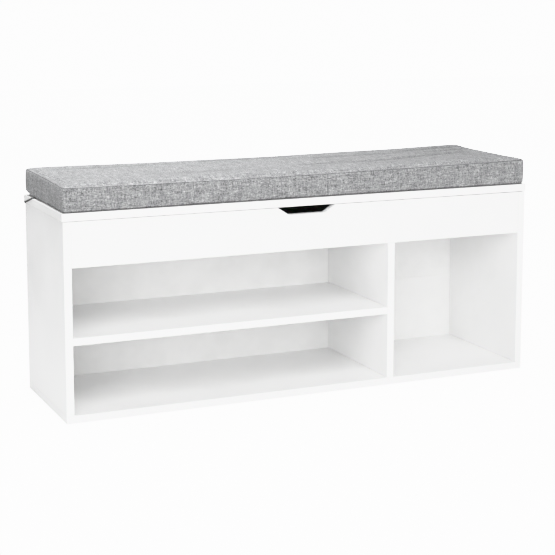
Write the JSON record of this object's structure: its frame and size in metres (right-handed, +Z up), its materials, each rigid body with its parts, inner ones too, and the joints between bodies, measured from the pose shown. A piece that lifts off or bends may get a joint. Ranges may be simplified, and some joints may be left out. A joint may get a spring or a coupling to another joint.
{
  "type": "entryway bench",
  "caption": "Low white board bench with open bays below, a storage box under a flip-up lid with a finger notch, and a grey linen cushion strapped to the lid.",
  "frame": {"origin": "on the floor, under the centre of the footprint", "axes": "+X along the bench to the right as seen from the front, +Y from front to back, +Z up"},
  "size_m": [1.0818, 0.3054, 0.48],
  "materials": {
    "white_board": "satin",
    "back_sheet": "satin",
    "strip_plastic": "satin",
    "glide_plastic": "satin",
    "bumper_rubber": "satin",
    "beech": "matte",
    "fastener_steel": "satin",
    "cam_zinc": "satin",
    "hinge_steel": "satin",
    "foam": "matte",
    "linen": "matte",
    "zip": "matte",
    "elastic": "matte"
  },
  "bodies": {
    "frame": {"base_panel": "white_board", "left_side_panel": "white_board", "right_side_panel": "white_board", "divider_panel": "white_board", "shelf_panel": "white_board", "box_floor_panel": "white_board", "front_rail": "white_board", "rear_rail": "white_board", "upper_back_sheet": "back_sheet", "lower_back_sheet": "back_sheet", "back_jointing_strip": "strip_plastic", "back_nails": "fastener_steel", "floor_glides": "glide_plastic", "wood_dowels": "beech", "cam_bolts": "fastener_steel", "cam_locks": "cam_zinc", "base_screws": "fastener_steel", "divider_screws": "fastener_steel", "left_hinge_frame_leaf": "hinge_steel", "left_hinge_pin": "hinge_steel", "centre_hinge_frame_leaf": "hinge_steel", "centre_hinge_pin": "hinge_steel", "right_hinge_frame_leaf": "hinge_steel", "right_hinge_pin": "hinge_steel", "hinge_frame_screws": "fastener_steel"},
    "lid": {"lid_panel": "white_board", "lid_bumpers": "bumper_rubber", "left_hinge_lid_leaf": "hinge_steel", "centre_hinge_lid_leaf": "hinge_steel", "right_hinge_lid_leaf": "hinge_steel", "hinge_lid_screws": "fastener_steel", "cushion_foam": "foam", "cushion_cover": "linen", "cushion_underside": "linen", "cushion_zip": "zip", "left_corner_loop": "elastic", "right_corner_loop": "elastic"}
  },
  "joints": [
    {"name": "lid_hinge", "type": "hinge", "parent": "frame", "child": "lid", "pos_m": [0, 0.1501, 0.4129], "axis": [-1, 0, 0], "range_deg": [0, 90]}
  ]
}
